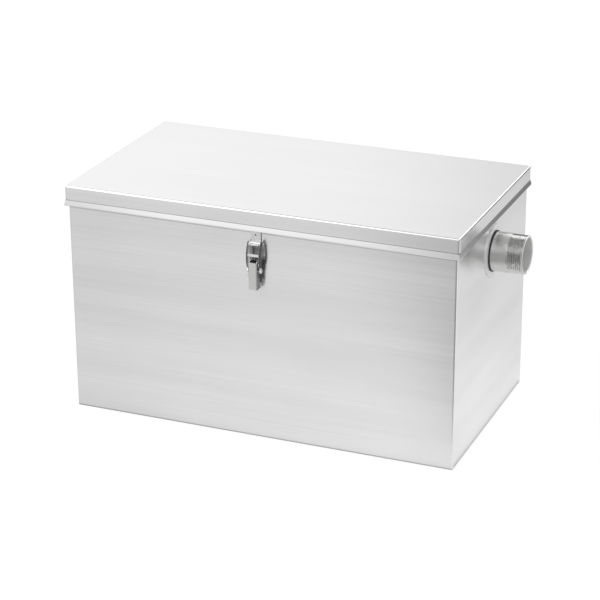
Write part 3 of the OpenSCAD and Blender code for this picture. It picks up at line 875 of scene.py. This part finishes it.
@dataclass
class PipeEnd:
    """A nipple with a cut thread at each end, and its washer, seal and back nut.

    The crest and the slope are shares of half a pitch. The plain middle ends a hair behind the outer thread.
    The sharp angle is in degrees.
    """

    nodes: dict[str, bpy.types.Object]
    end: End
    pitch: float = 0.002309
    depth: float = 0.0013
    crest: float = 0.12
    slope: float = 0.76
    outer_thread: float = 0.0205
    inner_thread: float = 0.015
    step: float = 0.00025
    hair: float = 0.00001
    bore: float = 0.02135
    chamfer: float = 0.0008
    lip: float = 0.0011
    sharp_angle: float = 35.0
    around: int = 96
    per_pitch: int = 8

    def _thread(self, along: float, angle: float) -> float:
        """How far the thread is cut at one spot.

        Args:
            along: Distance along the pipe.
            angle: Angle round the pipe.

        Returns:
            The depth as a share of the full depth, from 0 at a crest to 1 at a root.
        """
        phase = (along / self.pitch - self.end.value * angle / (2 * math.pi)) % 1.0
        cut = (abs(2 * phase - 1) - self.crest) / self.slope
        return min(1.0, max(0.0, cut))

    def _radius(self, along: float, length: float, outer: float, angle: float) -> float:
        """The outside radius at one spot.

        Args:
            along: Distance from the inner end of the nipple.
            length: Length of the nipple.
            outer: Radius of its plain middle.
            angle: Angle round the pipe.

        Returns:
            The radius.
        """
        from_out, from_in = length - along, along
        crest = outer
        cut = 0.0
        if from_out < self.outer_thread:
            crest = outer - self.step
            cut = min(1.0, (self.outer_thread - from_out) / self.pitch)
        elif from_in < self.inner_thread:
            cut = min(1.0, (self.inner_thread - from_in) / self.pitch)
        edge = crest - max(0.0, self.chamfer - min(from_out, from_in))
        return min(edge, crest - cut * self.depth * self._thread(along, angle))

    def _stops(self, length: float) -> list[float]:
        """Where the outside has its rings of points.

        Args:
            length: Length of the nipple.

        Returns:
            Their distances from the inner end, in order.
        """
        fine = self.pitch / self.per_pitch
        stops = {0.0, length, self.chamfer, length - self.chamfer}
        stops.add(length - self.outer_thread - self.hair)
        stops.update(i * fine for i in range(int(self.inner_thread / fine) + 1))
        stops.update(length - i * fine for i in range(int(self.outer_thread / fine) + 1))
        return sorted(stops)

    def build(self) -> bpy.types.Object:
        """Builds the threaded nipple in the place of its plain solid.

        Returns:
            The new piece, which rides on the housing.
        """
        solid = self.nodes[f"{self.end.word}_nipple"]
        low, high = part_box(solid.name)
        length, outer = high.x - low.x, (high.z - low.z) / 2
        centre = (low + high) / 2
        inner_x = low.x if self.end is End.INLET else high.x
        around = self.around
        rings = [
            (along, [self._radius(along, length, outer, self._angle(point)) for point in range(around)])
            for along in self._stops(length)
        ]
        outside = len(rings)
        lip, mouth = self.lip, self.bore + self.lip
        for along, radius in ((length, mouth), (length - lip, self.bore), (lip, self.bore), (0.0, mouth)):
            rings.append((along, [radius] * around))
        verts = [
            (
                inner_x + self.end.value * along,
                centre.y + radius * math.cos(self._angle(point)),
                centre.z + radius * math.sin(self._angle(point)),
            )
            for along, radii in rings
            for point, radius in enumerate(radii)
        ]
        count = len(rings)
        zones = [
            self._zone((rings[ring][0] + rings[(ring + 1) % count][0]) / 2, length, ring < outside)
            for ring in range(count)
        ]
        faces = []
        for ring in range(count):
            here, there = ring * around, ((ring + 1) % count) * around
            for point in range(around):
                beyond = (point + 1) % around
                face = (here + point, here + beyond, there + beyond, there + point)
                faces.append(face if self.end is End.OUTLET else face[::-1])
        mesh = bpy.data.meshes.new(f"{self.end.word}_threaded_nipple")
        mesh.from_pydata(verts, [], faces)
        mesh.polygons.foreach_set("use_smooth", [True] * len(faces))
        mesh.set_sharp_from_angle(angle=math.radians(self.sharp_angle))
        piece = bpy.data.objects.new(mesh.name, mesh)
        bpy.context.scene.collection.objects.link(piece)
        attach(piece, HOUSING)
        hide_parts(f"{self.end.word}_nipple")
        mesh.polygons.foreach_set("material_index", [zone.value for zone in zones for _ in range(around)])
        LOG.info("%s built", piece.name)
        return piece

    def _zone(self, middle: float, length: float, outside: bool) -> Zone:
        """Which part of the nipple a band of the surface belongs to.

        Args:
            middle: The band's distance from the inner end.
            length: Length of the nipple.
            outside: Whether it lies on the outside.

        Returns:
            The zone, whose number is that of its material slot.
        """
        if min(middle, length - middle) < self.lip:
            return Zone.RIM
        if not outside:
            return Zone.BORE
        plain = self.inner_thread < middle < length - self.outer_thread
        return Zone.COLLAR if plain else Zone.THREAD

    def _angle(self, point: int) -> float:
        """The angle of one of the points round the pipe."""
        return 2 * math.pi * point / self.around

    def dress(self, shop: Paintshop, nipple: bpy.types.Object) -> None:
        """Dresses the nipple and what sits round it.

        Args:
            shop: Makes the finishes.
            nipple: The threaded nipple.
        """
        finishes = {Zone.THREAD: THREAD, Zone.COLLAR: COLLAR, Zone.BORE: BORE, Zone.RIM: RIM}
        for zone in Zone:
            nipple.data.materials.append(shop.material(finishes[zone]))
        shop.dress(WASHER, self.nodes[f"{self.end.word}_washer"])
        shop.dress(RUBBER, self.nodes[f"{self.end.word}_seal"])
        shop.dress(INNER, self.nodes[f"{self.end.word}_backnut"])


@dataclass(frozen=True)
class Softbox:
    """A square soft lamp that points at the trap."""

    name: str
    place: Point
    size: float
    watts: float
    target: Point = (0.0, 0.0, 0.14)

    def build(self) -> bpy.types.Object:
        """Hangs the lamp.

        Returns:
            The lamp's object.
        """
        data = bpy.data.lights.new(self.name, "AREA")
        data.shape, data.size, data.energy = "SQUARE", self.size, self.watts
        lamp = bpy.data.objects.new(self.name, data)
        lamp.location = self.place
        lamp.rotation_mode = "QUATERNION"
        lamp.rotation_quaternion = (Vector(self.target) - Vector(self.place)).to_track_quat("-Z", "Y")
        bpy.context.scene.collection.objects.link(lamp)
        return lamp


@dataclass(frozen=True)
class Fade:
    """A smooth change from one value to another over a range of places or directions."""

    source: Span
    target: Span

    def on(self, graph: Graph, value: Any) -> bpy.types.NodeSocket:
        """The value at a place or in a direction."""
        return graph.spread(value, self.source, self.target)


@dataclass
class Floor:
    """A plain pale floor. It is white to the camera, and what the metal mirrors of it has darker zones.

    The foot is how far the trap's edge lies from the middle, along X and along Y.
    """

    half: float = 8.0
    drop: float = 0.0003
    roughness: float = 0.9
    shade: Colour = grey(0.88)
    seen_shade: Colour = grey(0.22)
    seen_glow: float = 0.86
    light_level: float = 0.66
    dark_level: float = 0.13
    foot: Span = (0.25, 0.1375)
    slant: float = 0.6
    right_first: Fade = Fade((0.3, 0.5), (0.0, 0.82))
    right_rest: Fade = Fade((0.5, 0.85), (0.0, 0.18))
    right_before: Fade = Fade((-0.3, -0.12), (1.0, 0.0))
    right_within: Fade = Fade((-0.82, -0.72), (0.76, 1.0))
    behind_from: Fade = Fade((-0.14, -0.12), (0.0, 0.12))
    behind_to: Fade = Fade((0.1, 0.4), (1.0, 0.0))
    corner_from: Fade = Fade((-0.3, -0.16), (0.0, 0.09))
    corner_to: Fade = Fade((-0.05, 0.2), (1.0, 0.0))
    left: Fade = Fade((-0.7, 0.15), (0.68, 1.0))
    back: Fade = Fade((0.0, 0.5), (1.0, 0.88))
    far_back: Fade = Fade((0.9, 1.5), (1.0, 0.0))
    contact: Fade = Fade((0.0, 0.006), (0.3, 1.0))

    def build(self) -> None:
        """Lays the floor, which keeps the trap's shadow."""
        half, z = self.half, -self.drop
        mesh = bpy.data.meshes.new("floor")
        corners = [(-half, -half, z), (half, -half, z), (half, half, z), (-half, half, z)]
        mesh.from_pydata(corners, [], [(0, 1, 2, 3)])
        floor = bpy.data.objects.new("floor", mesh)
        bpy.context.scene.collection.objects.link(floor)
        material, graph, shader = blank("pale_floor")
        shader.inputs["Roughness"].default_value = self.roughness
        shader.inputs["Specular IOR Level"].default_value = 0.0
        path = graph.add("ShaderNodeLightPath")
        seen, mirrored = path.outputs["Is Camera Ray"], path.outputs["Is Glossy Ray"]
        either = graph.math("MAXIMUM", seen, mirrored)
        seen_part = graph.math("MULTIPLY", seen, self.seen_glow)
        glow = graph.math("ADD", seen_part, graph.math("MULTIPLY", mirrored, self._level(graph)))
        graph.feed(shader.inputs["Base Color"], graph.blend(either, self.shade, self.seen_shade))
        graph.feed(shader.inputs["Emission Color"], WHITE)
        graph.feed(shader.inputs["Emission Strength"], glow)
        mesh.materials.append(material)

    def _level(self, graph: Graph) -> bpy.types.NodeSocket:
        """How light each spot of the floor is in what the metal mirrors.

        Args:
            graph: The material's graph.

        Returns:
            The level's socket.
        """
        x, y, _ = graph.split("Object")
        front_right = graph.math("SUBTRACT", x, graph.math("MULTIPLY", y, self.slant))
        dim = graph.math(
            "ADD", self.right_first.on(graph, front_right), self.right_rest.on(graph, front_right)
        )
        dim = graph.math("MULTIPLY", dim, self.right_before.on(graph, y))
        dim = graph.math("MULTIPLY", dim, self.right_within.on(graph, y))
        loss = graph.math("MULTIPLY", dim, self.light_level - self.dark_level)
        level = graph.math("SUBTRACT", self.light_level, loss)
        behind = graph.math("MULTIPLY", self.behind_from.on(graph, y), self.behind_to.on(graph, y))
        level = graph.math("MULTIPLY", level, graph.math("ADD", 1.0, behind))
        corner = graph.math("MULTIPLY", self.corner_from.on(graph, y), self.corner_to.on(graph, x))
        level = graph.math("MULTIPLY", level, graph.math("SUBTRACT", 1.0, corner))
        beside = graph.math(
            "MAXIMUM",
            graph.math("SUBTRACT", graph.math("ABSOLUTE", x), self.foot[0]),
            graph.math("SUBTRACT", graph.math("ABSOLUTE", y), self.foot[1]),
        )
        for fade, value in ((self.left, x), (self.back, y), (self.far_back, y), (self.contact, beside)):
            level = graph.math("MULTIPLY", level, fade.on(graph, value))
        return level


@dataclass
class Surround:
    """White light from all round, with grey zones that are strongest in what the metal mirrors.

    It is all white to the camera.
    """

    shade: Colour = grey(0.1)
    right_first: Fade = Fade((-0.35, -0.22), (0.0, 0.5))
    right_rest: Fade = Fade((0.1, 0.3), (0.0, 0.55))
    right_depth: Fade = Fade((-0.4, 0.0), (0.3, 1.0))
    right_height: Fade = Fade((0.3, 0.55), (1.0, 0.0))
    front_depth: Fade = Fade((-0.9, -0.8), (1.0, 0.0))
    front_height: Fade = Fade((0.22, 0.4), (1.0, 0.0))
    gap_left: float = 0.38
    gap_edge: Fade = Fade((0.02, 0.16), (0.0, 0.85))
    top: Fade = Fade((0.6, 0.9), (0.0, 0.6))
    lit_share: float = 0.3
    mirrored_share: float = 0.7
    lit_strength: float = 0.7
    mirrored_strength: float = 0.3

    def build(self) -> None:
        """Surrounds the scene with the world's light."""
        world = bpy.data.worlds.new("studio")
        world.use_nodes = True
        bpy.context.scene.world = world
        graph = Graph(world.node_tree)
        background = next(n for n in world.node_tree.nodes if n.type == "BACKGROUND")
        output = next(n for n in world.node_tree.nodes if n.type == "OUTPUT_WORLD")
        path = graph.add("ShaderNodeLightPath")
        mirrored = path.outputs["Is Glossy Ray"]
        share = graph.math("ADD", self.lit_share, graph.math("MULTIPLY", mirrored, self.mirrored_share))
        dark = graph.math("MULTIPLY", self._darkness(graph), share)
        graph.feed(background.inputs["Color"], graph.blend(dark, WHITE, self.shade))
        more = graph.math("MULTIPLY", mirrored, self.mirrored_strength)
        graph.feed(background.inputs["Strength"], graph.math("ADD", self.lit_strength, more))
        white = graph.add("ShaderNodeBackground", {"Color": WHITE, "Strength": 1.0})
        mixed = graph.add(
            "ShaderNodeMixShader",
            {0: path.outputs["Is Camera Ray"], 1: background.outputs[0], 2: white.outputs[0]},
        )
        graph.feed(output.inputs["Surface"], mixed.outputs[0])

    def _darkness(self, graph: Graph) -> bpy.types.NodeSocket:
        """How grey each direction is: low on the right, in front beside a gap, and overhead.

        Args:
            graph: The world's graph.

        Returns:
            The darkness's socket, from 0 to 1.
        """
        x, y, z = graph.split("Generated")
        right = graph.math("ADD", self.right_first.on(graph, x), self.right_rest.on(graph, x))
        right = graph.math("MULTIPLY", right, self.right_depth.on(graph, y))
        right = graph.math("MULTIPLY", right, self.right_height.on(graph, z))
        front = graph.math("MULTIPLY", self.front_depth.on(graph, y), self.front_height.on(graph, z))
        aside = graph.math("ABSOLUTE", graph.math("ADD", x, self.gap_left))
        front = graph.math("MULTIPLY", front, self.gap_edge.on(graph, aside))
        return graph.math("MAXIMUM", graph.math("MAXIMUM", right, front), self.top.on(graph, z))


@dataclass
class Studio:
    """The camera, the floor, the world and the lamps. Angles are in degrees and the lens is in mm."""

    place: Point = (0.948584, -2.299419, 1.147874)
    yaw: float = 22.44904
    pitch: float = 22.27299
    roll: float = -0.30345
    lens: float = 127.9418
    lamps: tuple[Softbox, ...] = (
        Softbox("key", place=(-1.5, -1.3, 2.2), size=2.0, watts=18.0),
        Softbox("side", place=(1.2, 1.9, 1.3), size=1.2, watts=7.0, target=(0.2, 0.0, 0.2)),
    )

    def build_camera(self) -> None:
        """Makes the camera at the viewing angle of the photograph."""
        data = bpy.data.cameras.new("camera")
        data.lens = self.lens
        camera = bpy.data.objects.new("camera", data)
        yaw, pitch, roll = (math.radians(a) for a in (self.yaw, self.pitch, self.roll))
        ahead = Vector((-math.sin(yaw) * math.cos(pitch), math.cos(yaw) * math.cos(pitch), -math.sin(pitch)))
        right = Vector((math.cos(yaw), math.sin(yaw), 0.0))
        up = right.cross(ahead)
        turned = math.cos(roll) * right + math.sin(roll) * up
        upright = math.cos(roll) * up - math.sin(roll) * right
        turn = Matrix((turned, upright, -ahead)).transposed()
        camera.matrix_world = Matrix.Translation(self.place) @ turn.to_4x4()
        bpy.context.scene.collection.objects.link(camera)
        bpy.context.scene.camera = camera

    def build(self) -> None:
        """Builds the camera, the floor, the world and the lamps."""
        self.build_camera()
        Floor().build()
        Surround().build()
        for lamp in self.lamps:
            lamp.build()
            LOG.info("lamp %s hung", lamp.name)
        bpy.context.scene.view_settings.view_transform = "Standard"


def main() -> None:
    """Builds the trap's looks in order, from the camera to the latches."""
    logging.basicConfig(level=logging.INFO, format="%(message)s")
    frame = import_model()
    nodes = frame["nodes"]
    Studio().build()
    shop = Paintshop(Effects())
    Tank(nodes).dress(shop)
    Interior(nodes).dress(shop)
    for end in End:
        pipe = PipeEnd(nodes, end)
        pipe.dress(shop, pipe.build())
    for side in Side:
        Latch(nodes, side).dress(shop)


if __name__ == "__main__":
    main()
